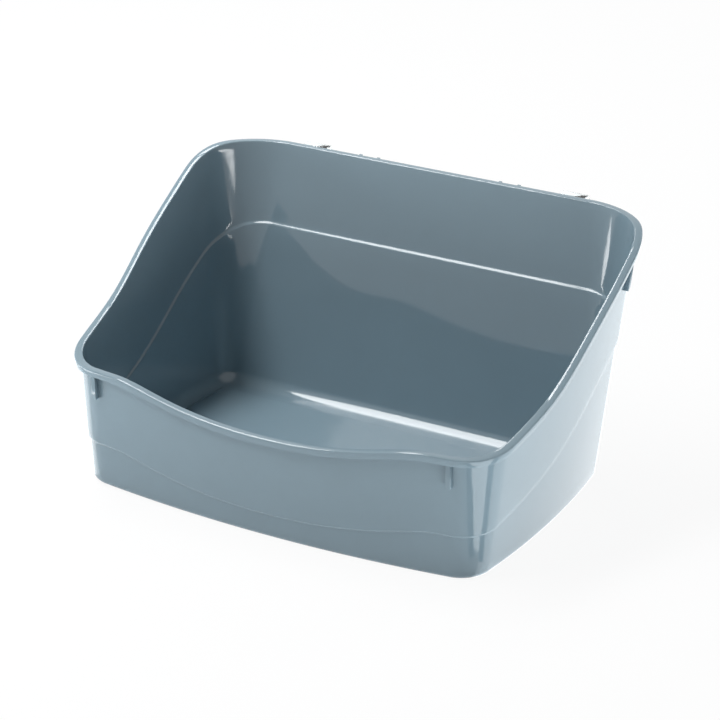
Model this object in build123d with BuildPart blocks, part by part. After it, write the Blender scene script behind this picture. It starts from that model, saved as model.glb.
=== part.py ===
from build123d import *

import os
from math import cos, radians, sin, tan

# Small animal litter tray with two clip-on cage hooks. Millimetres, +Z up, low entry towards -Y.
# The origin lies on the ground under the middle of the overall box, hooks included.
os.makedirs("parts", exist_ok=True)

# Height of the rim's top face at the back, at the front corners and at the dip of the entry
rim_back = 186.0
rim_corner = 92.8
rim_entry = 78.3

# Outer faces of the tub at ground level, out to where neighbouring faces would meet
base_front = 119.0
base_back = 74.9
base_half_front = 156.9
base_half_back = 160.4

# Lean of each wall away from upright, in degrees
front_draft = 0.5
side_draft = 4.5
back_draft = 13.5

# Bulge of the front and side walls in plan, and how much the side's grows per mm of height
front_bow = 12.0
side_bow = 6.9
side_bow_growth = 0.012

# Upright corners open like cones: radius on the ground, and its growth per mm of height
front_corner_radius = 25.0
front_corner_growth = 0.09
back_corner_radius = 16.0
back_corner_growth = 0.225

# Walls and floor. The rounding round the bottom is drawn as a few narrow flats
wall = 1.8
floor = 2.0
base_round = 4.0
cove_radius = 8.5
round_flats = 3

# The wall steps outwards at the stacking shoulder, this far below the rim
shoulder_depth = 59.7
shoulder_step = 1.4

# Rim: a level flange round the mouth with a lip turned down at its outer edge
flange_reach = 3.8
flange_thickness = 1.8
lip_height = 5.0
lip_thickness = 1.3

# Side view of the rim: level up to the slope's foot, then up an S-curve to the level back.
# Each place on the slope is given with its share of the rise from the corner to the back.
slope_foot = -120.0
slope_head = 104.0
slope_places = ((-90.0, 0.067), (-45.0, 0.211), (0.0, 0.484), (50.0, 0.786))

# Front view of the rim: the entry dips in the middle and runs level again towards the corners
entry_half_width = 122.8
entry_hollow = 74.0
entry_shoulder = 26.0

# Floor panel raised inside a standing ring
panel_rise = 1.2
panel_side_margin = 13.0
panel_front_margin = 18.0
panel_back_margin = 18.5
panel_corner_radius = 12.0

# Stacking ribs that hang below the lip, flush with it: one near each front corner, one at the back
# of each side, and two pairs along the back that stand a little proud of the lip
rib_width = 3.6
rib_drop = 17.3
front_rib_x = 139.5
side_rib_y = 62.5
back_rib_width = 2.5
back_rib_x = 58.0
back_rib_spacing = 15.0
back_rib_proud = 1.2

# Cage hooks: a clip that grips the lip of the back rim, and a bow that drops over a cage wire
hook_x = 106.5
hook_width = 20.0
hook_thickness = 1.6
hook_mouth = 8.6
hook_crown_drop = 1.2
hook_tip_drop = 20.0
hook_tip_radius = 5.0
hook_bend = 2.0
clip_leg = 1.2
clip_clearance = 0.3

# The tub's walls are drawn this far past the rim's top before it trims them, and a block holds it all
draw_spare = 14.0
block = 600.0


def outline(height, outset=0.0):
    """Level section of the tub's outer face, moved outwards by outset."""
    front = base_front + height * tan(radians(front_draft)) + outset
    back = base_back + height * tan(radians(back_draft)) + outset
    half_front = base_half_front + height * tan(radians(side_draft)) + outset
    half_back = base_half_back + height * tan(radians(side_draft)) + outset
    half_middle = (half_front + half_back) / 2 + side_bow + height * side_bow_growth
    middle = (back - front) / 2
    front_radius = front_corner_radius + height * front_corner_growth + outset
    back_radius = back_corner_radius + height * back_corner_growth + outset
    with BuildSketch(Plane.XY.offset(height)) as section:
        with BuildLine():
            ThreePointArc((-half_front, -front), (0, -front - front_bow), (half_front, -front))
            ThreePointArc((half_front, -front), (half_middle, middle), (half_back, back))
            Line((half_back, back), (-half_back, back))
            ThreePointArc((-half_back, back), (-half_middle, middle), (-half_front, -front))
        make_face()
        fillet(section.vertices().group_by(Axis.Y)[0], front_radius)
        fillet(section.vertices().group_by(Axis.Y)[-1], back_radius)
    return section.sketch


def tub_block(outset=0.0, foot=0.0, rounding=0.0):
    """Solid of the tub from foot level to above the rim, with its bottom edge rounded."""
    sections = [outline(rim_back + draw_spare, outset), outline(foot + rounding, outset)]
    if rounding > 0:
        for flat in range(1, round_flats + 1):
            turn = radians(90 * flat / round_flats)
            lift = rounding * (1 - sin(turn))
            sections.append(outline(foot + lift, outset - rounding * (1 - cos(turn))))
    with BuildPart() as solid:
        loft(sections[::-1], ruled=True)
    return solid.part


def side_view_curve():
    """Points of the rim's slope in side view, from its foot at the front to its head at the back."""
    rise = rim_back - rim_corner
    points = [(slope_foot, rim_corner)]
    points += [(place, rim_corner + share * rise) for place, share in slope_places]
    points += [(slope_head, rim_back)]
    return Spline(points, tangents=[(1, 0.1), (1, 0)], mode=Mode.PRIVATE)


def entry_curve():
    """Right half of the entry's dip in front view, from its lowest point to the level corner."""
    return Bezier(
        (0, rim_entry),
        (entry_hollow, rim_entry),
        (entry_half_width - entry_shoulder, rim_corner),
        (entry_half_width, rim_corner),
        mode=Mode.PRIVATE,
    )


def parallel_points(curve, depth, drop, count=8):
    """Points at a steady distance below a curve, square to it, then lowered straight down by drop."""
    points = []
    for index in range(count + 1):
        place = curve @ (index / count)
        run = curve % (index / count)
        points.append((place.X + run.Y * depth, place.Y - run.X * depth - drop))
    return points


def space_above(drop=0.0, depth=0.0):
    """Everything above the rim's top face, lowered straight down by drop and squarely by depth."""
    side = side_view_curve()
    slope = parallel_points(side, depth, drop)
    dip = parallel_points(entry_curve(), depth, drop)
    mirrored = [(-x, z) for x, z in reversed(dip[1:])]
    dip_edge = dip[-1][0]
    with BuildPart() as space:
        with BuildSketch(Plane.YZ):
            with BuildLine():
                Spline(slope, tangents=[side % 0, side % 1])
                Polyline(
                    slope[-1],
                    (block / 2, slope[-1][1]),
                    (block / 2, block),
                    (-block / 2, block),
                    (-block / 2, slope[0][1]),
                    slope[0],
                )
            make_face()
        extrude(amount=block / 2, both=True)
        with BuildSketch(Plane.XZ.offset(base_front / 2)):
            with BuildLine():
                Spline(mirrored + dip, tangents=[(1, 0), (1, 0)])
                Polyline(dip[-1], (dip_edge, block), (-dip_edge, block), mirrored[0])
            make_face()
        extrude(amount=block / 2)
    return space.part


def rim_band():
    """Flange and down-turned lip round the mouth, still solid across the tub."""
    with BuildPart() as hollow:
        add(tub_block(flange_reach - lip_thickness))
        add(space_above(drop=flange_thickness), mode=Mode.SUBTRACT)
    with BuildPart() as band:
        add(tub_block(flange_reach))
        add(space_above(drop=lip_height), mode=Mode.INTERSECT)
        add(hollow.part, mode=Mode.SUBTRACT)
    return band.part


def ribs(places, width, depth, reach):
    """Stacking ribs: posts at places in plan, trimmed to the lip's outline and to their length."""
    with BuildPart() as posts:
        with BuildSketch():
            with Locations(*places):
                Rectangle(width, depth)
        extrude(amount=block)
        add(tub_block(reach), mode=Mode.INTERSECT)
        add(space_above(drop=lip_height + rib_drop), mode=Mode.INTERSECT)
    return posts.part


def all_ribs():
    """Every stacking rib, still running through the wall into the tub."""
    side_rib_x = base_half_back + side_bow
    back_rib_y = base_back + rim_back * tan(radians(back_draft))
    pair = [-back_rib_spacing / 2, back_rib_spacing / 2]
    front_places = [(side * front_rib_x, -base_front - rib_width) for side in (-1, 1)]
    side_places = [(side * side_rib_x, side_rib_y) for side in (-1, 1)]
    back_places = [(side * back_rib_x + step, back_rib_y) for side in (-1, 1) for step in pair]
    with BuildPart() as together:
        add(ribs(front_places, rib_width, block / 20, flange_reach))
        add(ribs(side_places, block / 10, rib_width, flange_reach))
        add(ribs(back_places, back_rib_width, block / 20, flange_reach + back_rib_proud))
    return together.part


def cavity():
    """Room inside the tub, with a coved floor and the shoulder's step in the wall."""
    with BuildPart() as mouth:
        add(tub_block(-wall, floor))
        add(space_above(depth=shoulder_depth), mode=Mode.INTERSECT)
    with BuildPart() as room:
        add(tub_block(-shoulder_step - wall, floor, cove_radius))
        add(mouth.part)
    return room.part


def floor_panel(bottom, top):
    """Slab of the raised floor panel between two heights."""
    half_front = base_half_front - panel_side_margin
    half_back = base_half_back - panel_side_margin
    half_middle = (half_front + half_back) / 2 + side_bow
    front = base_front - panel_front_margin
    back = base_back - panel_back_margin
    middle = (back - front) / 2
    with BuildPart() as slab:
        with BuildSketch(Plane.XY.offset(bottom)) as plan:
            with BuildLine():
                ThreePointArc((-half_front, -front), (0, -front - front_bow), (half_front, -front))
                ThreePointArc((half_front, -front), (half_middle, middle), (half_back, back))
                Line((half_back, back), (-half_back, back))
                ThreePointArc((-half_back, back), (-half_middle, middle), (-half_front, -front))
            make_face()
            fillet(plan.vertices(), panel_corner_radius)
        extrude(amount=top - bottom)
    return slab.part


# The tray: one moulding
with BuildPart() as upper_tub:
    add(tub_block())
    add(space_above(depth=shoulder_depth), mode=Mode.INTERSECT)

with BuildPart() as tray:
    add(tub_block(-shoulder_step, 0.0, base_round))
    add(upper_tub.part)
    add(rim_band())
    add(all_ribs())
    add(space_above(), mode=Mode.SUBTRACT)
    add(cavity(), mode=Mode.SUBTRACT)
    add(floor_panel(floor, floor + panel_rise))
    add(floor_panel(0.0, panel_rise), mode=Mode.SUBTRACT)
tray.part.label = "tray"
export_step(tray.part, "parts/tray.step")


def back_face(height, offset):
    """How far back a face lies that runs beside the tub's back wall, offset from its outside."""
    return base_back + height * tan(radians(back_draft)) + offset


def cage_hook(x):
    """One cage hook at a place along the back rim, clipped on the lip from below."""
    seat = rim_back - lip_height - clip_clearance
    clip_bottom = seat - hook_thickness
    leg_top = rim_back - flange_thickness - clip_clearance
    leg_back = back_face(rim_back - lip_height, flange_reach - lip_thickness) - clip_clearance
    leg_front = leg_back - clip_leg
    bow_front = back_face(rim_back, flange_reach) + clip_clearance
    mouth_front = bow_front + hook_thickness
    mouth_back = mouth_front + hook_mouth
    bow_back = mouth_back + hook_thickness
    crown = rim_back - hook_crown_drop
    tip = crown - hook_tip_drop
    with BuildPart() as hook:
        with BuildSketch(Plane.YZ.offset(x)):
            with BuildLine():
                Polyline(
                    (leg_front, leg_top),
                    (leg_front, clip_bottom),
                    (mouth_front, clip_bottom),
                    (mouth_front, crown - hook_thickness),
                    (mouth_back, crown - hook_thickness),
                    (mouth_back, tip),
                    (bow_back, tip),
                    (bow_back, crown),
                    (bow_front, crown),
                    (bow_front, seat),
                    (leg_back, seat),
                    (leg_back, leg_top),
                    close=True,
                )
            make_face()
        extrude(amount=hook_width / 2, both=True)
        bends = hook.edges().filter_by(Axis.X)
        fillet(bends.group_by(Axis.Z)[-1], hook_bend + hook_thickness)
        fillet(bends.group_by(Axis.Z)[-3], hook_bend)
        fillet(hook.edges().filter_by(Axis.Y).group_by(Axis.Z)[0], hook_tip_radius)
    return hook.part


for name, x in (("hook_left", -hook_x), ("hook_right", hook_x)):
    with BuildPart() as cage_clip:
        add(cage_hook(x))
    cage_clip.part.label = name
    export_step(cage_clip.part, f"parts/{name}.step")
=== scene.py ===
# A small animal litter tray with a low entry, a high back and two cage hooks, in a pale studio.
import math

import bmesh
import bpy
import numpy as np
from bpy.props import FloatProperty, FloatVectorProperty, PointerProperty, StringProperty
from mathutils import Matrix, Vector


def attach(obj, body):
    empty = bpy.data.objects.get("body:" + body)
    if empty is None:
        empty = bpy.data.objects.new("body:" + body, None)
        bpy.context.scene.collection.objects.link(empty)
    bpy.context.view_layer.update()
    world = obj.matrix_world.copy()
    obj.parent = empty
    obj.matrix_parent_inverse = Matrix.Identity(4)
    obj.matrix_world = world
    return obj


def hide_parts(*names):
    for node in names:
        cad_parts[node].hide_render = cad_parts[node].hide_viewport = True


bl_info = {
    "name": "Litter Tray",
    "version": (1, 0, 0),
    "blender": (4, 5, 0),
    "location": "View3D > Sidebar > Litter Tray",
    "description": "Builds a moulded litter tray with stacking ribs, cage hooks and its studio",
    "category": "Add Mesh",
}

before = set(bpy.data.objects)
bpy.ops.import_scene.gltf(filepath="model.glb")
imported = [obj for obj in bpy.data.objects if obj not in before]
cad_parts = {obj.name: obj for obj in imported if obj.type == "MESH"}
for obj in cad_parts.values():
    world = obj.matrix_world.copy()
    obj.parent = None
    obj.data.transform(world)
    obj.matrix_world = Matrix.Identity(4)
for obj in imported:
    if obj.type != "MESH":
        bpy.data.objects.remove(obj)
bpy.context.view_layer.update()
DRAW_HEIGHT = 0.2  # Height of the upper of the two outlines that the walls are ruled between
RIB_ROOT = -0.0006  # Outset of the ribs' roots, inside the wall
STEP = 0.001  # Outset at which the outlines' outward directions are measured
COUNTS = (26, 22, 40, 30, 14)  # Points along the front, front corner, side, back corner and back


def length(name, description, default):
    """Property for a size in metres."""
    return FloatProperty(name=name, description=description, default=default, unit="LENGTH")


def angle(name, description, degrees):
    """Property for an angle, its default given in degrees."""
    default = math.radians(degrees)
    return FloatProperty(name=name, description=description, default=default, subtype="ANGLE")


def number(name, description, default):
    """Property for a plain number."""
    return FloatProperty(name=name, description=description, default=default)


def hex_colour(name, description, default):
    """Property for a colour."""
    return StringProperty(name=name, description=description, default=default)


class TraySizes(bpy.types.PropertyGroup):
    """Sizes of the tub, its rim and its floor."""

    rim_back: length("Back Rim Height", "Top of the rim along the back", 0.186)
    rim_corner: length("Corner Rim Height", "Top of the rim at the front corners", 0.0928)
    rim_entry: length("Entry Height", "Top of the rim at the lowest point of the entry", 0.0783)
    entry_half_width: length("Entry Half Width", "From the dip's middle to its level ends", 0.1228)
    base_front: length("Foot Front", "Front wall's ends on the ground, ahead of the origin", 0.119)
    base_back: length("Foot Back", "Back wall on the ground, behind the origin", 0.0749)
    base_half_front: length("Foot Half Width Front", "Half the foot's width at the front", 0.1569)
    base_half_back: length("Foot Half Width Back", "Half the foot's width at the back", 0.1604)
    front_draft: angle("Front Draft", "Lean of the front wall", 0.5)
    side_draft: angle("Side Draft", "Lean of the side walls", 4.5)
    back_draft: angle("Back Draft", "Lean of the back wall", 13.5)
    front_bow: length("Front Bow", "Bulge of the front wall in plan", 0.012)
    side_bow: length("Side Bow", "Bulge of each side wall in plan on the ground", 0.0069)
    side_bow_growth: number("Side Bow Growth", "Growth of the side walls' bulge with height", 0.012)
    front_corner: length("Front Corner Radius", "Radius of the front corners on the ground", 0.025)
    front_corner_growth: number("Front Corner Growth", "Growth of that radius with height", 0.09)
    back_corner: length("Back Corner Radius", "Radius of the back corners on the ground", 0.016)
    back_corner_growth: number("Back Corner Growth", "Growth of that radius with height", 0.225)
    wall: length("Wall", "Wall thickness", 0.0018)
    floor: length("Floor", "Floor thickness", 0.002)
    base_round: length("Base Round", "Rounding round the bottom outside", 0.004)
    cove: length("Cove", "Rounding between floor and wall inside", 0.0085)
    shoulder_depth: length("Shoulder Depth", "Square distance from the rim to the shoulder", 0.0597)
    shoulder_step: length("Shoulder Step", "How far the wall steps outwards there", 0.0014)
    flange: length("Flange Reach", "From the wall to the outside of the lip", 0.0038)
    flange_thickness: length("Flange Thickness", "Thickness of the level flange", 0.0018)
    lip_height: length("Lip Height", "From the rim's top to the lip's lower edge", 0.005)
    lip_thickness: length("Lip Thickness", "Thickness of the turned-down lip", 0.0013)
    panel_rise: length("Panel Rise", "Height of the raised floor panel", 0.0012)
    panel_corner: length("Panel Corner Radius", "Corner radius of the floor panel", 0.012)
    colour: hex_colour("Plastic Colour", "sRGB hex colour of the tray", "7D929D")


class RibSizes(bpy.types.PropertyGroup):
    """Sizes and places of the stacking ribs under the lip."""

    width: length("Rib Width", "Width of the front and side ribs", 0.0036)
    drop: length("Rib Drop", "How far a rib hangs below the lip", 0.0173)
    front_x: length("Front Rib Place", "From the middle to a front rib", 0.1395)
    side_y: length("Side Rib Place", "From the origin back to a side rib", 0.0625)
    back_x: length("Back Rib Place", "From the middle to a pair of back ribs", 0.058)
    back_gap: length("Back Rib Spacing", "Between the two ribs of a pair", 0.015)
    back_width: length("Back Rib Width", "Width of the back ribs", 0.0025)
    back_proud: length("Back Rib Proud", "How far the back ribs stand out past the lip", 0.0012)


class HookSizes(bpy.types.PropertyGroup):
    """Sizes of the clip-on cage hooks."""

    place: length("Hook Place", "From the middle to a hook's middle", 0.1065)
    width: length("Hook Width", "Width of a hook", 0.020)
    thickness: length("Hook Thickness", "Thickness of the hook's strip", 0.0016)
    leg: length("Clip Leg", "Thickness of the leg behind the lip", 0.0012)
    mouth: length("Mouth", "Room for a cage wire", 0.0086)
    crown_drop: length("Crown Drop", "Top of the hook below the rim", 0.0012)
    tip_drop: length("Tip Drop", "From the hook's top to its tip", 0.020)
    tip_radius: length("Tip Radius", "Corner radius of the tip", 0.005)
    bend: length("Bend", "Inside radius of the top bends", 0.002)
    clearance: length("Clearance", "Room round the lip", 0.0003)
    edge: length("Edge Radius", "Rounding of the strip's edges", 0.0004)
    colour: hex_colour("Clear Plastic Colour", "sRGB hex tint of the hooks", "EEF4F5")


class StageSizes(bpy.types.PropertyGroup):
    """Camera and light."""

    azimuth: angle("Azimuth", "Turn of the view round the tray", 29.28)
    elevation: angle("Elevation", "Height of the view over the ground", 24.641)
    distance: length("Distance", "Camera to the middle of the tray", 1.8484)
    lens: number("Lens", "Focal length on a 36 mm wide sensor, in mm", 129.486)
    target: FloatVectorProperty(
        name="Target", description="Where the camera looks", default=(0.0016, 0.00245, 0.081),
        subtype="TRANSLATION",
    )
    key_level: number("Key Level", "Brightness of the overhead softboxes", 10.0)
    table_level: number("Table Level", "Brightness of the low light round the tray", 1.0)
    fill_level: number("Fill Level", "Brightness of the surroundings as light", 0.17)


def to_linear(colour):
    """Linear RGBA of an sRGB hex colour."""
    parts = [int(colour[i : i + 2], 16) / 255 for i in (0, 2, 4)]
    return [p / 12.92 if p <= 0.04045 else ((p + 0.055) / 1.055) ** 2.4 for p in parts] + [1.0]


def node(tree, kind, sockets=None, **settings):
    """Adds a node: settings are its properties, sockets its inputs as values or links."""
    made = tree.nodes.new(kind)
    for key, value in settings.items():
        setattr(made, key, value)
    for key, value in (sockets or {}).items():
        if isinstance(value, bpy.types.NodeSocket):
            tree.links.new(value, made.inputs[key])
        else:
            made.inputs[key].default_value = value
    return made


def maths(tree, operation, *values):
    """Result of a Math node, as a socket."""
    return node(tree, "ShaderNodeMath", dict(enumerate(values)), operation=operation).outputs[0]


def spread(tree, value, low, high, clamp=True):
    """A value from 0 to 1 laid out from low to high, as a socket."""
    return node(tree, "ShaderNodeMapRange", {0: value, 3: low, 4: high}, clamp=clamp).outputs[0]


def new_tree(name, inputs):
    """Geometry Nodes tree with the named inputs, given as (name, socket type, default)."""
    tree = bpy.data.node_groups.new(name, "GeometryNodeTree")
    tree.interface.new_socket("Geometry", in_out="INPUT", socket_type="NodeSocketGeometry")
    for label, kind, default in inputs:
        socket = tree.interface.new_socket(label, in_out="INPUT", socket_type=kind)
        if default is not None:
            socket.default_value = default
    tree.interface.new_socket("Geometry", in_out="OUTPUT", socket_type="NodeSocketGeometry")
    return tree, tree.nodes.new("NodeGroupInput"), tree.nodes.new("NodeGroupOutput")


def bake(start, tree, name, values):
    """Runs a tree on a start object and returns the result as one plain mesh object."""
    modifier = start.modifiers.new(tree.name, "NODES")
    modifier.node_group = tree
    for item in tree.interface.items_tree:
        if item.in_out == "INPUT" and item.name in values:
            modifier[item.identifier] = values[item.name]
    evaluated = start.evaluated_get(bpy.context.evaluated_depsgraph_get())
    mesh = bpy.data.meshes.new_from_object(evaluated)
    start.modifiers.remove(modifier)
    bpy.data.objects.remove(start)
    mesh.name = name
    made = bpy.data.objects.new(name, mesh)
    bpy.context.scene.collection.objects.link(made)
    return made


def mesh_object(name, vertices, faces):
    """Object with a mesh of its own, in the scene."""
    mesh = bpy.data.meshes.new(name)
    mesh.from_pydata([tuple(v) for v in vertices], [], [tuple(f) for f in faces])
    mesh.validate()
    made = bpy.data.objects.new(name, mesh)
    bpy.context.scene.collection.objects.link(made)
    return made


def clean_normals(piece):
    """Turns a closed piece's faces outwards."""
    shape = bmesh.new()
    shape.from_mesh(piece.data)
    bmesh.ops.recalc_face_normals(shape, faces=shape.faces)
    shape.to_mesh(piece.data)
    shape.free()


def ring_quads(rings, around):
    """Quads between neighbouring rings of equally many points."""
    quads = []
    for j in range(rings - 1):
        for i in range(around):
            k, here, there = (i + 1) % around, j * around, (j + 1) * around
            quads.append((here + i, here + k, there + k, there + i))
    return quads


def tube(name, rings):
    """Closed tube through rings of points, smooth along its length, with flat ends."""
    around, last = len(rings[0]), (len(rings) - 1) * len(rings[0])
    faces = ring_quads(len(rings), around)
    faces += [tuple(range(around))[::-1], tuple(range(last, last + around))]
    made = mesh_object(name, [point for ring in rings for point in ring], faces)
    clean_normals(made)
    for face in made.data.polygons:
        face.use_smooth = len(face.vertices) == 4
    return made


def store(piece, name, rows):
    """Stores one number or one vector for each point of a piece, as a named attribute."""
    rows = np.array(rows, np.float32)
    kind, field = ("FLOAT", "value") if rows.ndim == 1 else ("FLOAT_VECTOR", "vector")
    piece.data.attributes.new(name, kind, "POINT").data.foreach_set(field, rows.ravel())


def drop_attributes(piece):
    """Removes the start mesh's own values from a finished piece."""
    own = {
        "foot", "head", "foot_out", "head_out", "along", "panel", "panel_out", "centre", "local",
        "outset", "height", "rim_share", "shoulder_share", "panel_share", "centre_share",
        "width", "reach", "bottom", "top",
    }
    for name in [a.name for a in piece.data.attributes if a.name in own]:
        piece.data.attributes.remove(piece.data.attributes[name])


def circle_through(a, b, c):
    """Centre and radius of the circle through three points in plan."""
    (ax, ay), (bx, by), (cx, cy) = a, b, c
    d = 2 * (ax * (by - cy) + bx * (cy - ay) + cx * (ay - by))
    a2, b2, c2 = ax * ax + ay * ay, bx * bx + by * by, cx * cx + cy * cy
    x = (a2 * (by - cy) + b2 * (cy - ay) + c2 * (ay - by)) / d
    y = (a2 * (cx - bx) + b2 * (ax - cx) + c2 * (bx - ax)) / d
    return np.array([x, y]), math.hypot(ax - x, ay - y)


def arc_points(centre, radius, start, end, count):
    """Points along an arc between two points on it, without the last one."""
    a = math.atan2(start[1] - centre[1], start[0] - centre[0])
    b = math.atan2(end[1] - centre[1], end[0] - centre[0])
    turn = (b - a + math.pi) % (2 * math.pi) - math.pi
    angles = a + turn * np.arange(count) / count
    x, y = centre[0] + radius * np.cos(angles), centre[1] + radius * np.sin(angles)
    return np.column_stack([x, y])


def rounded_plan(
    front, back, half_front, half_back, half_middle, front_bow, front_radius, back_radius
):
    """Outline in plan from the middle of the front, round the right side, to that of the back."""
    front_ends = (-half_front, -front), (half_front, -front)
    front_middle, side_middle = (0, -front - front_bow), (half_middle, (back - front) / 2)
    front_centre, front_arc = circle_through(front_ends[0], front_middle, front_ends[1])
    side_centre, side_arc = circle_through(front_ends[1], side_middle, (half_back, back))
    # Front corner: its centre lies one radius inside both arcs
    r1, r2 = front_arc - front_radius, side_arc - front_radius
    gap = side_centre - front_centre
    d = np.linalg.norm(gap)
    along = (r1 * r1 - r2 * r2 + d * d) / (2 * d)
    up = math.sqrt(max(r1 * r1 - along * along, 0))
    unit = gap / d
    across = np.array([-unit[1], unit[0]])
    options = [front_centre + unit * along + s * up * across for s in (-1, 1)]
    corner = min(options, key=lambda p: math.hypot(p[0] - half_front, p[1] + front))
    out_front = (corner - front_centre) / np.linalg.norm(corner - front_centre)
    out_side = (corner - side_centre) / np.linalg.norm(corner - side_centre)
    a, b = corner + out_front * front_radius, corner + out_side * front_radius
    # Back corner: its centre lies one radius inside the side arc and the straight back
    r3 = side_arc - back_radius
    y = back - back_radius
    x = side_centre[0] + math.sqrt(r3 * r3 - (y - side_centre[1]) ** 2)
    rear = np.array([x, y])
    out_rear = (rear - side_centre) / np.linalg.norm(rear - side_centre)
    c, e = rear + out_rear * back_radius, np.array([x, back])
    straight = np.linspace(e, (0, back), COUNTS[4] + 1)
    return np.vstack([
        arc_points(front_centre, front_arc, front_middle, a, COUNTS[0]),
        arc_points(corner, front_radius, a, b, COUNTS[1]),
        arc_points(side_centre, side_arc, b, c, COUNTS[2]),
        arc_points(rear, back_radius, c, e, COUNTS[3]),
        straight,
    ])


def tub_outline(s, height, outset):
    """Right half of the tub's level section at a height, moved outwards by outset."""
    front = s.base_front + height * math.tan(s.front_draft) + outset
    back = s.base_back + height * math.tan(s.back_draft) + outset
    half_front = s.base_half_front + height * math.tan(s.side_draft) + outset
    half_back = s.base_half_back + height * math.tan(s.side_draft) + outset
    half_middle = (half_front + half_back) / 2 + s.side_bow + height * s.side_bow_growth
    front_radius = s.front_corner + height * s.front_corner_growth + outset
    back_radius = s.back_corner + height * s.back_corner_growth + outset
    return rounded_plan(
        front, back, half_front, half_back, half_middle, s.front_bow, front_radius, back_radius
    )


def panel_outline(s, outset):
    """Right half of the floor panel's outline, set in from the foot all round."""
    front_margin, back_margin, side_margin = 0.018, 0.0185, 0.013
    front, back = s.base_front - front_margin + outset, s.base_back - back_margin + outset
    half_front = s.base_half_front - side_margin + outset
    half_back = s.base_half_back - side_margin + outset
    half_middle = (half_front + half_back) / 2 + s.side_bow
    radius = s.panel_corner + outset
    bow = s.front_bow
    return rounded_plan(front, back, half_front, half_back, half_middle, bow, radius, radius)


def all_round(half):
    """Closed loop from the right half: the left half mirrors it."""
    mirrored = half[1:-1][::-1] * (-1, 1)
    return np.vstack([half, mirrored])


def clamped_spline(points, start, end, count=400):
    """Smooth curve through points, with given directions at its ends, as samples and tangents."""
    p = np.array(points, float)
    t = np.concatenate([[0], np.cumsum(np.linalg.norm(np.diff(p, axis=0), axis=1))])
    h = np.diff(t)
    n = len(p)
    a = np.zeros((n, n))
    b = np.zeros((n, 2))
    a[0, 0] = a[-1, -1] = 1
    b[0] = np.array(start) / np.linalg.norm(start)
    b[-1] = np.array(end) / np.linalg.norm(end)
    for i in range(1, n - 1):
        a[i, i - 1], a[i, i], a[i, i + 1] = h[i], 2 * (h[i - 1] + h[i]), h[i - 1]
        b[i] = 3 * (h[i] * (p[i] - p[i - 1]) / h[i - 1] + h[i - 1] * (p[i + 1] - p[i]) / h[i])
    slope = np.linalg.solve(a, b)
    where = np.linspace(0, t[-1], count)
    i = np.clip(np.searchsorted(t, where, side="right") - 1, 0, n - 2)
    u = ((where - t[i]) / h[i])[:, None]
    w = h[i][:, None]
    place = (2 * u**3 - 3 * u**2 + 1) * p[i] + (u**3 - 2 * u**2 + u) * w * slope[i]
    place = place + (3 * u**2 - 2 * u**3) * p[i + 1] + (u**3 - u**2) * w * slope[i + 1]
    run = np.gradient(place, axis=0)
    return place, run / np.linalg.norm(run, axis=1)[:, None]


def rim_side_view(s):
    """The rim's slope in side view: level front, S-curve, level back."""
    rise = s.rim_back - s.rim_corner
    # Places front to back, each with the share of the rise that the rim has made there
    shares = (
        (-0.120, 0.0), (-0.090, 0.067), (-0.045, 0.211), (0.0, 0.484), (0.050, 0.786), (0.104, 1.0),
    )
    points = [(y, s.rim_corner + share * rise) for y, share in shares]
    return clamped_spline(points, (1, 0.1), (1, 0))


def rim_entry_view(s):
    """The entry's dip in front view, right half, a curve with level ends."""
    low_reach, high_reach = 0.074, 0.026
    u = np.linspace(0, 1, 400)[:, None]
    a, b = np.array([0, s.rim_entry]), np.array([low_reach, s.rim_entry])
    c = np.array([s.entry_half_width - high_reach, s.rim_corner])
    d = np.array([s.entry_half_width, s.rim_corner])
    place = (1 - u) ** 3 * a + 3 * u * (1 - u) ** 2 * b + 3 * u**2 * (1 - u) * c + u**3 * d
    run = np.gradient(place, axis=0)
    return place, run / np.linalg.norm(run, axis=1)[:, None]


def parallel(curve, depth):
    """The curve moved squarely below itself."""
    place, run = curve
    return place + np.column_stack([run[:, 1], -run[:, 0]]) * depth


def soft_s(step, turn):
    """Radius and half length of an S of two equal arcs, which shifts a surface by a step."""
    radius = step / (2 * (1 - math.cos(math.radians(turn))))
    return radius, radius * math.sin(math.radians(turn))


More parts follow.
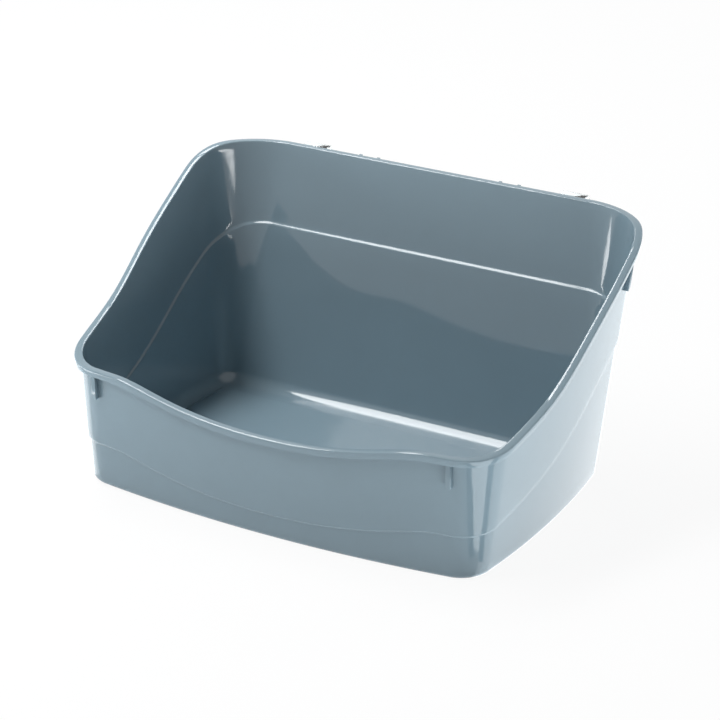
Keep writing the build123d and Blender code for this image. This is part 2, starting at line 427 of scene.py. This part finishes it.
def wall_stations(s):
    """The wall's section from the floor's middle inside, over the rim, to its middle underneath.

    Each station is (outset, height, shares of the rim, the shoulder, the panel and the centre).
    """
    rows = []

    def add(outset, height, rim=0.0, shoulder=0.0, panel=0.0, centre=0.0):
        rows.append((outset, height, rim, shoulder, panel, centre))

    def arc(centre, radius, start, end, count, **kind):
        for i in range(count + 1):
            a = math.radians(start + (end - start) * i / count)
            add(centre[0] + radius * math.cos(a), centre[1] + radius * math.sin(a), **kind)

    # The panel's edge and the shoulder are each a soft S, turned by these angles in degrees
    panel_turn, turn = 50, 62
    bend, run = soft_s(s.panel_rise, panel_turn)
    soft, half_rise = soft_s(s.shoulder_step, turn)
    # Roundings of the rim: on top inside and outside, below the lip outside and inside, and under
    # the flange at the lip and at the wall
    top_in, top_out, lip_out, lip_in, under_lip, under_wall = (
        0.0007, 0.0011, 0.0005, 0.0003, 0.0004, 0.0006,
    )
    # Where the wall's own stations end below the rim, inside and outside
    end_in, end_out = 0.0012, 0.0028
    beside, lip_middle, chamfer = 0.001, 0.55, 0.0002

    top = s.floor + s.panel_rise
    inner_low, outer_low = -s.shoulder_step - s.wall, -s.shoulder_step
    for share in (1.0, 0.75, 0.5, 0.25, 0.02):
        add(-run - beside, top, panel=1.0, centre=share)
    arc((-run, top - bend), bend, 90, 90 - panel_turn, 5, panel=1.0)
    arc((run, s.floor + bend), bend, 270 - panel_turn, 270, 5, panel=1.0)
    add(run + beside, s.floor, panel=1.0)
    arc((inner_low - s.cove, s.floor + s.cove), s.cove, -90, 0, 10)
    low, high = s.floor + s.cove, -half_rise
    for t in np.arange(1, 12) / 12:
        add(inner_low, low * (1 - t) + high * t, shoulder=t)
    arc((inner_low + soft, -half_rise), soft, 180, 180 - turn, 6, shoulder=1.0)
    arc((-s.wall - soft, half_rise), soft, -turn, 0, 6, shoulder=1.0)
    for t in np.arange(1, 13) / 13:
        add(-s.wall, half_rise * (1 - t) - end_in * t, rim=t, shoulder=1 - t)
    arc((-s.wall + top_in, -top_in), top_in, 180, 90, 5, rim=1.0)
    add(s.flange / 2 - s.wall / 2, 0.0, rim=1.0)
    arc((s.flange - top_out, -top_out), top_out, 90, 0, 6, rim=1.0)
    add(s.flange, -s.lip_height * lip_middle, rim=1.0)
    arc((s.flange - lip_out, -s.lip_height + lip_out), lip_out, 0, -90, 3, rim=1.0)
    inside = s.flange - s.lip_thickness
    arc((inside + lip_in, -s.lip_height + lip_in), lip_in, -90, -180, 2, rim=1.0)
    arc((inside - under_lip, -s.flange_thickness - under_lip), under_lip, 0, 90, 3, rim=1.0)
    arc((under_wall, -s.flange_thickness - under_wall), under_wall, 90, 180, 3, rim=1.0)
    for t in np.arange(1, 13) / 13:
        add(0.0, -end_out * (1 - t) + half_rise * t, rim=1 - t, shoulder=t)
    arc((-soft, half_rise), soft, 0, -turn, 6, shoulder=1.0)
    arc((outer_low + soft, -half_rise), soft, 180 - turn, 180, 6, shoulder=1.0)
    for t in np.arange(1, 12) / 12:
        add(outer_low, -half_rise * (1 - t) + s.base_round * t, shoulder=1 - t)
    arc((outer_low - s.base_round, s.base_round), s.base_round, 0, -90, 7)
    add(2 * chamfer, 0.0, panel=1.0)
    add(0.0, chamfer, panel=1.0)
    for share in (0.0, 0.25, 0.5, 0.75, 1.0):
        add(-chamfer, s.panel_rise, panel=1.0, centre=share)
    return np.array(rows)


def float_curve(tree, points, value, name):
    """Looks a height up on a curve given as samples: level before its first and after its last."""
    knot_count = 25
    lo, hi = points[:, 1].min(), points[:, 1].max()
    first, last = points[0, 0], points[-1, 0]
    reach = node(tree, "ShaderNodeMapRange", {0: value, 1: first, 2: last}, clamp=True)
    curve = node(tree, "ShaderNodeFloatCurve", {"Value": reach.outputs[0]}, label=name)
    knots = curve.mapping.curves[0].points
    places = np.linspace(first, last, knot_count)
    heights = np.interp(places, points[:, 0], points[:, 1])
    for i, (x, y) in enumerate(zip(places, heights)):
        at = ((x - first) / (last - first), (y - lo) / (hi - lo))
        if i in (0, knot_count - 1):
            knots[0 if i == 0 else len(knots) - 1].location = at
        else:
            knots.new(*at)
    curve.mapping.update()
    return spread(tree, curve.outputs[0], lo, hi, clamp=False)


def height_over_plan(tree, side, entry, x, y, split, name):
    """Height of the rim or the shoulder over a place in plan: the slope, cut by the front's dip."""
    slope = float_curve(tree, side, y, name + " in side view")
    reach = maths(tree, "ABSOLUTE", x)
    dip = float_curve(tree, entry, reach, name + " in front view")
    inside = maths(tree, "LESS_THAN", reach, float(entry[-1, 0]))
    both = maths(tree, "MULTIPLY", inside, maths(tree, "LESS_THAN", y, split))
    sockets = {"Switch": both, "False": slope, "True": maths(tree, "MINIMUM", slope, dip)}
    return node(tree, "GeometryNodeSwitch", sockets, input_type="FLOAT").outputs[0]


def named(tree, name, kind="FLOAT_VECTOR"):
    """Named attribute of the start mesh, as a socket."""
    return node(tree, "GeometryNodeInputNamedAttribute", {"Name": name}, data_type=kind).outputs[0]


def mixed(tree, a, b, factor):
    """Vector between a and b, or past them."""
    sockets = {0: factor, 4: a, 5: b}
    return node(tree, "ShaderNodeMix", sockets, data_type="VECTOR", clamp_factor=False).outputs[1]


def moved_by(tree, a, b, scale):
    """Vector a plus b times scale."""
    scaled = node(tree, "ShaderNodeVectorMath", {0: b, 3: scale}, operation="SCALE").outputs[0]
    return node(tree, "ShaderNodeVectorMath", {0: a, 1: scaled}, operation="ADD").outputs[0]


def pull_to_walls(tree, geometry, s, draw_height, outset, height, sideways=None):
    """Repeat Zone that pulls points onto the ruled walls, and to their height below the rim."""
    rounds = 8
    rim_side, rim_front = rim_side_view(s), rim_entry_view(s)
    shoulder_side = parallel(rim_side, s.shoulder_depth)
    shoulder_front = parallel(rim_front, s.shoulder_depth)
    opening = tree.nodes.new("GeometryNodeRepeatInput")
    closing = tree.nodes.new("GeometryNodeRepeatOutput")
    opening.pair_with_output(closing)
    opening.inputs["Iterations"].default_value = rounds
    tree.links.new(geometry, opening.inputs["Geometry"])
    place = node(tree, "GeometryNodeInputPosition").outputs[0]
    split = node(tree, "ShaderNodeSeparateXYZ", {0: place})
    share = maths(tree, "DIVIDE", split.outputs[2], draw_height)
    wall = mixed(tree, named(tree, "foot"), named(tree, "head"), share)
    outward = mixed(tree, named(tree, "foot_out"), named(tree, "head_out"), share)
    wall = moved_by(tree, wall, outward, outset)
    if sideways is not None:
        wall = moved_by(tree, wall, named(tree, "along"), sideways)
    panel = moved_by(tree, named(tree, "panel"), named(tree, "panel_out"), outset)
    plan = mixed(tree, wall, panel, named(tree, "panel_share", "FLOAT"))
    plan = mixed(tree, plan, named(tree, "centre"), named(tree, "centre_share", "FLOAT"))
    xyz = node(tree, "ShaderNodeSeparateXYZ", {0: plan})
    x, y = xyz.outputs[0], xyz.outputs[1]
    ahead = -s.base_front / 2
    rim = height_over_plan(tree, rim_side[0], rim_front[0], x, y, ahead, "Rim")
    shoulder = height_over_plan(tree, shoulder_side, shoulder_front, x, y, ahead, "Shoulder")
    lift = maths(tree, "MULTIPLY_ADD", rim, named(tree, "rim_share", "FLOAT"), height)
    lift = maths(tree, "MULTIPLY_ADD", shoulder, named(tree, "shoulder_share", "FLOAT"), lift)
    target = node(tree, "ShaderNodeCombineXYZ", {0: x, 1: y, 2: lift}).outputs[0]
    sockets = {"Geometry": opening.outputs["Geometry"], "Position": target}
    moved = node(tree, "GeometryNodeSetPosition", sockets)
    tree.links.new(moved.outputs[0], closing.inputs["Geometry"])
    return closing.outputs["Geometry"]


def end_tree(tree, geometry, plastic, result):
    """Ends a tree: Realize Instances, Set Material and its output."""
    real = node(tree, "GeometryNodeRealizeInstances", {"Geometry": geometry})
    made = node(tree, "GeometryNodeSetMaterial", {"Geometry": real.outputs[0], "Material": plastic})
    tree.links.new(made.outputs[0], result.inputs[0])


def tub_tree(s):
    """Tree that pulls a ring-by-station grid onto the tub's ruled walls, rim and shoulder."""
    tree, given, result = new_tree("Tub From Outlines", [
        ("Draw Height", "NodeSocketFloat", DRAW_HEIGHT),
        ("Plastic", "NodeSocketMaterial", None),
    ])
    geometry, draw_height = given.outputs["Geometry"], given.outputs["Draw Height"]
    outset, height = named(tree, "outset", "FLOAT"), named(tree, "height", "FLOAT")
    pulled = pull_to_walls(tree, geometry, s, draw_height, outset, height)
    merged = node(tree, "GeometryNodeMergeByDistance", {"Geometry": pulled, "Distance": 0.000002})
    sockets = {"Geometry": merged.outputs[0], "Shade Smooth": True}
    smooth = node(tree, "GeometryNodeSetShadeSmooth", sockets)
    end_tree(tree, smooth.outputs[0], given.outputs["Plastic"], result)
    return tree


def ribs_tree(s):
    """Tree that hangs a rib at each start point and pulls it onto the wall, from root to reach."""
    tree, given, result = new_tree("Ribs Under The Lip", [
        ("Rib", "NodeSocketObject", None),
        ("Draw Height", "NodeSocketFloat", DRAW_HEIGHT),
        ("Root", "NodeSocketFloat", RIB_ROOT),
        ("Plastic", "NodeSocketMaterial", None),
    ])
    rib = node(tree, "GeometryNodeObjectInfo", {0: given.outputs["Rib"]})
    here = node(tree, "GeometryNodeInputPosition").outputs[0]
    kept = node(
        tree, "GeometryNodeStoreNamedAttribute",
        {"Geometry": rib.outputs["Geometry"], "Name": "local", "Value": here},
        data_type="FLOAT_VECTOR", domain="POINT",
    )
    sockets = {"Points": given.outputs["Geometry"], "Instance": kept.outputs[0]}
    hung = node(tree, "GeometryNodeInstanceOnPoints", sockets)
    single = node(tree, "GeometryNodeRealizeInstances", {"Geometry": hung.outputs[0]}).outputs[0]
    across, out, up = node(tree, "ShaderNodeSeparateXYZ", {0: named(tree, "local")}).outputs
    sideways = maths(tree, "MULTIPLY", across, named(tree, "width", "FLOAT"))
    reach, bottom, top = [named(tree, name, "FLOAT") for name in ("reach", "bottom", "top")]
    outset = spread(tree, out, given.outputs["Root"], reach, clamp=False)
    height = spread(tree, up, bottom, top, clamp=False)
    pulled = pull_to_walls(tree, single, s, given.outputs["Draw Height"], outset, height, sideways)
    end_tree(tree, pulled, given.outputs["Plastic"], result)
    return tree


def outline_at(outline, axis, value, other_sign):
    """Where an outline crosses a value of x (axis 0) or y (axis 1), and its direction there.

    Of its two crossings, the one on the side of other_sign is meant.
    """
    for a, b in zip(outline, np.roll(outline, -1, axis=0)):
        low, high = sorted((a[axis], b[axis]))
        if low <= value <= high and high > low and (a[1 - axis] + b[1 - axis]) * other_sign > 0:
            t = (value - a[axis]) / (b[axis] - a[axis])
            return a * (1 - t) + b * t, (b - a) / np.linalg.norm(b - a)
    raise ValueError("the outline doesn't reach the rib")


def ruled_outlines(s):
    """The two outlines that the walls are ruled between, each as it is and a step outwards."""
    levels = [(height, outset) for height in (0, DRAW_HEIGHT) for outset in (0, STEP)]
    return [all_round(tub_outline(s, height, outset)) for height, outset in levels]


def rib_points(s, r):
    """One start point for each rib, with its place on the walls and its sizes stored on it."""
    # A rib that ends at the lip stays a hair behind it and runs up into the flange, and a proud one
    # stays a hair below the rim
    behind, into_flange, below_top = 0.00005, 0.0002, 0.00006
    levels = ruled_outlines(s)
    places = [(0, x, -1, r.width, 0.0) for x in (-r.front_x, r.front_x)]
    places += [(1, r.side_y, side, r.width, 0.0) for side in (-1, 1)]
    pair = (-r.back_gap / 2, r.back_gap / 2)
    for x in (-r.back_x, r.back_x):
        places += [(0, x + gap, 1, r.back_width, r.back_proud) for gap in pair]
    vectors = {name: [] for name in ("foot", "foot_out", "head", "head_out", "along")}
    numbers = {"width": [], "reach": [], "bottom": [], "top": []}
    for axis, value, side, width, proud in places:
        found = [outline_at(level, axis, value, side) for level in levels]
        (foot, _), (foot_far, _), (head, along), (head_far, _) = found
        rows = (foot, (foot_far - foot) / STEP, head, (head_far - head) / STEP, along)
        for kept, row in zip(vectors.values(), rows):
            kept.append((*row, 0.0))
        numbers["width"].append(width)
        numbers["reach"].append(s.flange + proud if proud else s.flange - behind)
        numbers["bottom"].append(-s.lip_height - r.drop)
        numbers["top"].append(-below_top if proud else -s.flange_thickness + into_flange)
    made = mesh_object("rib_start", [(*v[:2], DRAW_HEIGHT / 2) for v in vectors["head"]], [])
    for name, rows in {**vectors, **numbers, "rim_share": [1.0] * len(places)}.items():
        store(made, name, rows)
    return made


def rib_template():
    """A rib in shares of its width, reach and height, with rounded outer edges and foot."""
    side_round, out_round, foot_round, above_foot, straight = 0.11, 0.09, 0.022, 0.06, 1.3
    # Inset and height of each level: round the foot, just above it and at the top
    turns = np.radians(np.linspace(0, 90, 5))
    levels = [(1 - math.sin(a), foot_round * (1 - math.cos(a))) for a in turns]
    levels += [(0.0, above_foot), (0.0, 1.0)]
    rings = []
    for inset, z in levels:
        half, out = 0.5 - side_round * inset, 1 - out_round * inset
        profile = [(-half, 0.0), (-half, out - out_round * straight)]
        for a in np.radians(np.linspace(180, 90, 5)):
            x = -half + side_round + side_round * math.cos(a)
            profile.append((x, out - out_round + out_round * math.sin(a)))
        profile.append((-half + side_round * straight, out))
        profile += [(-x, y) for x, y in reversed(profile)]
        rings.append([(x, y, z) for x, y in profile])
    return tube("rib_template", rings)


def tub_grid(s):
    """The flat start of the tub: a ring of points for each station, with the rules on them."""
    foot, foot_far, head, head_far = ruled_outlines(s)
    panel, panel_far = [all_round(panel_outline(s, outset)) for outset in (0, STEP)]
    stations = wall_stations(s)
    around, along = len(foot), len(stations)
    vertices = [(x, y, height) for height in stations[:, 1] for x, y in foot]
    made = mesh_object("tub_start", vertices, ring_quads(along, around))
    names = ("outset", "height", "rim_share", "shoulder_share", "panel_share", "centre_share")
    for name, column in zip(names, stations.T):
        store(made, name, np.repeat(column, around))
    rings = {
        "foot": foot,
        "head": head,
        "foot_out": (foot_far - foot) / STEP,
        "head_out": (head_far - head) / STEP,
        "panel": panel,
        "panel_out": (panel_far - panel) / STEP,
        "centre": np.zeros((around, 2)) + (0, panel[:, 1].mean()),
    }
    for name, ring in rings.items():
        store(made, name, np.tile(np.column_stack([ring, np.zeros(around)]), (along, 1)))
    return made


def hook_stations(s, h):
    """Middle line of a hook's strip in side view, with its half thickness and half width."""
    lean, rim = math.tan(s.back_draft), s.rim_back
    half = h.thickness / 2
    low_bend = half + 0.0002
    bend_steps, tip_steps = 8, 9
    seat = rim - s.lip_height - h.clearance
    leg_back = s.base_back + (rim - s.lip_height) * lean + s.flange - s.lip_thickness - h.clearance
    bow_front = s.base_back + rim * lean + s.flange + h.clearance
    crown = rim - h.crown_drop
    tip = crown - h.tip_drop
    leg, low = leg_back - h.leg / 2, seat - half
    stem, hanger = bow_front + half, bow_front + h.thickness * 1.5 + h.mouth
    corners = [
        ((leg, rim - s.flange_thickness - h.clearance), 0.0),
        ((leg, low), low_bend),
        ((stem, low), low_bend),
        ((stem, crown - half), h.bend + half),
        ((hanger, crown - half), h.bend + half),
        ((hanger, tip), 0.0),
    ]
    line = [corners[0][0]]
    for (before, _), (corner, radius), (after, _) in zip(corners, corners[1:], corners[2:]):
        back = (np.array(before) - corner) / math.dist(before, corner)
        on = (np.array(after) - corner) / math.dist(after, corner)
        for a in np.radians(np.linspace(0, 90, bend_steps)):
            turned = back * (1 - math.sin(a)) + on * (1 - math.cos(a))
            line.append(np.array(corner) + radius * turned)
    line.append((hanger, tip + h.tip_radius * 1.2))
    # The tip's rounding stops short of a quarter turn, so that its last ring keeps a width
    for a in np.radians(np.linspace(0, 86, tip_steps)):
        line.append((hanger, tip + h.tip_radius * (1 - math.sin(a))))
    rows = []
    for i, (y, z) in enumerate(line):
        thin = h.leg / 2 if i < 2 else half
        below = h.tip_radius - (z - tip) if i >= len(line) - tip_steps else 0
        lost = h.tip_radius - math.sqrt(max(h.tip_radius**2 - below**2, 0)) if below > 0 else 0
        rows.append((y, z, thin, h.width / 2 - lost))
    return rows


def hook_mesh(name, s, h, x):
    """One hook as a strip with rounded edges swept along its side view."""
    rows = hook_stations(s, h)
    # The section's corners: which side, which face, and where the corner's arc starts
    corners = ((1, 1, 0), (-1, 1, 90), (-1, -1, 180), (1, -1, 270))
    section = [(side, face, start + a) for side, face, start in corners for a in (0, 30, 60, 90)]
    end_share = 0.55
    places = np.array([row[:2] for row in rows])
    run = np.gradient(places, axis=0)
    run /= np.linalg.norm(run, axis=1)[:, None]
    rings = []
    for i, (y, z, thin, side) in enumerate(rows):
        across = np.array([-run[i][1], run[i][0]])
        squeeze = end_share if i in (0, len(rows) - 1) else 1.0
        ring = []
        for sx, st, a in section:
            u = sx * (side - h.edge) + h.edge * squeeze * math.cos(math.radians(a))
            v = st * (thin - h.edge) * squeeze + h.edge * squeeze * math.sin(math.radians(a))
            ring.append((x + u, y + across[0] * v, z + across[1] * v))
        rings.append(ring)
    return tube(name, rings)


def new_material(name):
    """Material with a Principled shader, and its tree and shader."""
    material = bpy.data.materials.new(name)
    material.use_nodes = True
    tree = material.node_tree
    return material, tree, next(n for n in tree.nodes if n.type == "BSDF_PRINCIPLED")


def object_noise(tree, scale, detail=2.0, roughness=0.5):
    """Noise over the object's own coordinates, as a socket."""
    place = node(tree, "ShaderNodeTexCoord").outputs["Object"]
    sockets = {"Vector": place, "Scale": scale, "Detail": detail, "Roughness": roughness}
    return node(tree, "ShaderNodeTexNoise", sockets).outputs[0]


def toned(colour, share):
    """A linear colour made lighter or darker."""
    return [min(c * share, 1) for c in colour[:3]] + [1.0]


def tinted(tree, shader, factor, low, high):
    """Lays the base colour out between two colours."""
    tint = node(tree, "ShaderNodeMix", {0: factor, 6: low, 7: high}, data_type="RGBA")
    tree.links.new(tint.outputs[2], shader.inputs["Base Color"])


def moulded_polypropylene(colour):
    """Polypropylene off a polished tool: crisp reflections on an even, cool grey body."""
    material, tree, shader = new_material("moulded_polypropylene")
    # The pigment drifts a little over 50 mm or so where the melt flowed
    base = to_linear(colour)
    drift = object_noise(tree, 18.0, 3.0, 0.55)
    tinted(tree, shader, drift, toned(base, 0.95), toned(base, 1.04))
    shader.inputs["IOR"].default_value = 1.49
    # Handling and wiping leave the gloss a little uneven, in patches of about 8 mm
    wear = object_noise(tree, 120.0, 4.0, 0.6)
    gloss = node(tree, "ShaderNodeMapRange", {0: wear, 1: 0.3, 2: 0.7, 3: 0.04, 4: 0.075})
    tree.links.new(gloss.outputs[0], shader.inputs["Roughness"])
    # Sink and tool polish leave waves about 25 mm long and a few hundredths of a millimetre deep
    wave = object_noise(tree, 40.0, 2.0, 0.4)
    bump = node(tree, "ShaderNodeBump", {"Strength": 0.12, "Distance": 0.0004, "Height": wave})
    tree.links.new(bump.outputs[0], shader.inputs["Normal"])
    return material


def clear_moulded_plastic(colour):
    """Clear moulded plastic: nearly colourless, glossy, with a trace of haze in the body."""
    material, tree, shader = new_material("clear_moulded_plastic")
    haze = object_noise(tree, 300.0)
    tree.links.new(spread(tree, haze, 0.03, 0.1), shader.inputs["Roughness"])
    tone = to_linear(colour)
    tinted(tree, shader, haze, toned(tone, 0.97), tone)
    shader.inputs["IOR"].default_value = 1.49
    shader.inputs["Transmission Weight"].default_value = 1.0
    return material


def seen_rays(tree):
    """Socket that is 1 for rays from the camera, straight or by reflections and clear pieces."""
    ray = node(tree, "ShaderNodeLightPath").outputs
    mirrored = maths(tree, "MAXIMUM", ray["Is Glossy Ray"], ray["Is Transmission Ray"])
    return maths(tree, "MAXIMUM", ray["Is Camera Ray"], mirrored)


def matt_stage_material(name, colour, scale, low, high):
    """Matt material for the stage, with a fine grain in its roughness."""
    material, tree, shader = new_material(name)
    tree.links.new(spread(tree, object_noise(tree, scale), low, high), shader.inputs["Roughness"])
    shader.inputs["Base Color"].default_value = to_linear(colour)
    return material, tree, shader


def studio_paper(white, shade):
    """Matt paper that the camera sees as white, with a share of the tray's shadow on it."""
    material, tree, shader = matt_stage_material("studio_paper", "F6F7F8", 400.0, 0.85, 0.95)
    glow = node(tree, "ShaderNodeEmission", {"Color": (1, 1, 1, 1), "Strength": white})
    part = maths(tree, "MULTIPLY", seen_rays(tree), 1 - shade)
    both = node(tree, "ShaderNodeMixShader", {0: part, 1: shader.outputs[0], 2: glow.outputs[0]})
    output = next(n for n in tree.nodes if n.type == "OUTPUT_MATERIAL")
    tree.links.new(both.outputs[0], output.inputs["Surface"])
    return material


def flag_cloth():
    """Black studio flag: takes nearly all light, so that it mirrors as a dark band."""
    return matt_stage_material("flag_cloth", "161719", 900.0, 0.9, 1.0)[0]


class BuildTray(bpy.types.Operator):
    """Build the tub with its rim, shoulder and floor."""

    bl_idname = "litter_tray.build_tray"
    bl_label = "Build Tray"

    def execute(self, context):
        s = context.scene.litter_tray
        plastic = moulded_polypropylene(s.colour)
        sizes = {"Draw Height": DRAW_HEIGHT, "Plastic": plastic}
        tray = bake(tub_grid(s), tub_tree(s), "tray_shell", sizes)
        drop_attributes(tray)
        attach(tray, "tray")
        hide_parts("tray")
        return {"FINISHED"}


class BuildRibs(bpy.types.Operator):
    """Build the stacking ribs under the lip."""

    bl_idname = "litter_tray.build_ribs"
    bl_label = "Build Stacking Ribs"

    def execute(self, context):
        s, r = context.scene.litter_tray, context.scene.litter_tray_ribs
        template = rib_template()
        plastic = bpy.data.materials["moulded_polypropylene"]
        sizes = {"Rib": template, "Draw Height": DRAW_HEIGHT, "Root": RIB_ROOT, "Plastic": plastic}
        ribs = bake(rib_points(s, r), ribs_tree(s), "stacking_ribs", sizes)
        bpy.data.objects.remove(template)
        drop_attributes(ribs)
        clean_normals(ribs)
        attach(ribs, "tray")
        return {"FINISHED"}


class BuildHooks(bpy.types.Operator):
    """Build the two clear cage hooks."""

    bl_idname = "litter_tray.build_hooks"
    bl_label = "Build Cage Hooks"

    def execute(self, context):
        s, h = context.scene.litter_tray, context.scene.litter_tray_hooks
        clear = clear_moulded_plastic(h.colour)
        for name, x in (("hook_left", -h.place), ("hook_right", h.place)):
            hook = hook_mesh(name + "_strip", s, h, x)
            hook.data.materials.append(clear)
            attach(hook, name)
            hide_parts(name)
        return {"FINISHED"}


class BuildStage(bpy.types.Operator):
    """Build the floor, the lights and the camera."""

    bl_idname = "litter_tray.build_stage"
    bl_label = "Build Stage"

    def execute(self, context):
        s = context.scene.litter_tray_stage
        scene = context.scene
        corners = [(-6, -6, 0), (6, -6, 0), (6, 6, 0), (-6, 6, 0)]
        floor = mesh_object("studio_floor", corners, [(0, 1, 2, 3)])
        floor.data.materials.append(studio_paper(white=1.0, shade=0.08))

        world = bpy.data.worlds.new("studio")
        scene.world = world
        world.use_nodes = True
        tree = world.node_tree
        tree.nodes.clear()
        white = node(tree, "ShaderNodeBackground", {"Color": (1, 1, 1, 1), "Strength": 1.0})
        sockets = {"Color": to_linear("EEF2F5"), "Strength": s.fill_level}
        soft = node(tree, "ShaderNodeBackground", sockets)
        sockets = {0: seen_rays(tree), 1: soft.outputs[0], 2: white.outputs[0]}
        both = node(tree, "ShaderNodeMixShader", sockets)
        node(tree, "ShaderNodeOutputWorld", {0: both.outputs[0]})

        def softbox(name, centre, size, aim, level):
            """Softbox at a place, aimed at another. Its level is 1 at the brightness of paper."""
            data = bpy.data.lights.new(name, "AREA")
            data.shape = "RECTANGLE"
            data.size, data.size_y = size
            data.energy = 4 * size[0] * size[1] * level
            made = bpy.data.objects.new(name, data)
            made.location = centre
            made.rotation_euler = (Vector(aim) - Vector(centre)).to_track_quat("-Z", "Y").to_euler()
            made.visible_camera = False
            scene.collection.objects.link(made)
            return made

        def table(name, low, high, level, turn=0.0, lift=0.001):
            """Light table just off the ground between two corners in plan, turned in place."""
            x, y = (low[0] + high[0]) / 2, (low[1] + high[1]) / 2
            size = high[0] - low[0], high[1] - low[1]
            made = softbox(name, (x, y, lift), size, (x, y, 1.0), level)
            made.rotation_euler = (math.pi, 0, math.radians(turn))

        for name, centre, size, aim, share in (
            ("key", (-0.71, -0.3, 1.5), (0.46, 1.6), (-0.71, -0.3, 0.0), 1.05),
            ("key_back", (-0.89, 0.85, 1.5), (0.3, 0.55), (-0.89, 0.85, 0.0), 0.8),
            ("back_right", (0.75, 1.75, 1.15), (0.7, 0.7), (0, 0, 0.1), 0.35),
        ):
            softbox(name, centre, size, aim, s.key_level * share)
        # Light tables round the tray's foot: dim ahead of it, brighter to the sides and behind.
        # The corner's table starts along the front flag in steps
        for name, low, high, share in (
            ("table_front", (-1.8, -2.4), (0.185, -0.09), 0.2),
            ("table_corner", (0.185, -0.15), (0.205, -0.112), 2.0),
            ("table_corner", (0.205, -0.19), (0.235, -0.112), 2.0),
            ("table_corner", (0.235, -0.27), (0.265, -0.112), 2.0),
            ("table_corner", (0.265, -0.9), (1.1, -0.112), 2.0),
            ("table_right", (0.15, -0.112), (2.2, 2.4), 0.9),
            ("table_left", (-2.2, -0.122), (-0.155, 2.4), 0.8),
            ("table_back", (-0.155, 0.09), (0.15, 2.4), 0.8),
        ):
            table(name, low, high, s.table_level * share)
        # Far panels, seen just under the horizon, for the streaks down the back corners
        above = 0.0016
        table("far_left", (-1.555, -0.69), (-0.265, -0.39), s.table_level * 7, 30, above)
        table("far_right", (1.6, -1.3), (3.4, 0.0), s.table_level * 8, lift=above)
        # Black flags on the light tables, kept to reflections, draw the dark bands down the corner
        black, flag_height = flag_cloth(), 0.003
        for name, left, right in (
            (
                "flag_front",
                ((0.1675, -0.127), (0.199, -0.186), (0.216, -0.26), (0.232, -0.36), (0.27, -0.62)),
                ((0.176, -0.1205), (0.221, -0.172), (0.245, -0.24), (0.272, -0.34), (0.33, -0.60)),
            ),
            ("flag_side", ((0.171, -0.1125), (0.60, -0.19)), ((0.170, -0.104), (0.60, -0.07))),
        ):
            n = len(left)
            quads = [(i, n + i, n + i + 1, i + 1) for i in range(n - 1)]
            flag = mesh_object(name, [(x, y, flag_height) for x, y in (*left, *right)], quads)
            flag.data.materials.append(black)
            flag.visible_camera = flag.visible_diffuse = flag.visible_shadow = False

        camera = bpy.data.objects.new("camera", bpy.data.cameras.new("camera"))
        scene.collection.objects.link(camera)
        target = Vector(s.target)
        level = math.cos(s.elevation)
        ahead, aside = -math.cos(s.azimuth) * level, math.sin(s.azimuth) * level
        back = Vector((aside, ahead, math.sin(s.elevation)))
        camera.location = target + back * s.distance
        camera.rotation_euler = (target - camera.location).to_track_quat("-Z", "Y").to_euler()
        camera.data.lens = s.lens
        camera.data.sensor_width = 36.0
        camera.data.clip_end = 30.0
        scene.camera = camera
        scene.view_settings.view_transform = "Standard"
        return {"FINISHED"}


class TrayPanel(bpy.types.Panel):
    """Sidebar list of the tray's operators."""

    bl_idname = "VIEW3D_PT_litter_tray"
    bl_label = "Litter Tray"
    bl_space_type = "VIEW_3D"
    bl_region_type = "UI"
    bl_category = "Litter Tray"

    def draw(self, context):
        for kind in OPERATORS:
            self.layout.operator(kind.bl_idname)


OPERATORS = (BuildTray, BuildRibs, BuildHooks, BuildStage)
GROUPS = {
    "litter_tray": TraySizes,
    "litter_tray_ribs": RibSizes,
    "litter_tray_hooks": HookSizes,
    "litter_tray_stage": StageSizes,
}


def register():
    for kind in (*GROUPS.values(), *OPERATORS, TrayPanel):
        bpy.utils.register_class(kind)
    for name, kind in GROUPS.items():
        setattr(bpy.types.Scene, name, PointerProperty(type=kind))


def unregister():
    for name in GROUPS:
        delattr(bpy.types.Scene, name)
    for kind in (TrayPanel, *reversed(OPERATORS), *reversed(list(GROUPS.values()))):
        bpy.utils.unregister_class(kind)


def main():
    register()
    bpy.ops.litter_tray.build_tray()
    bpy.ops.litter_tray.build_ribs()
    bpy.ops.litter_tray.build_hooks()
    bpy.ops.litter_tray.build_stage()


if __name__ == "__main__":
    main()
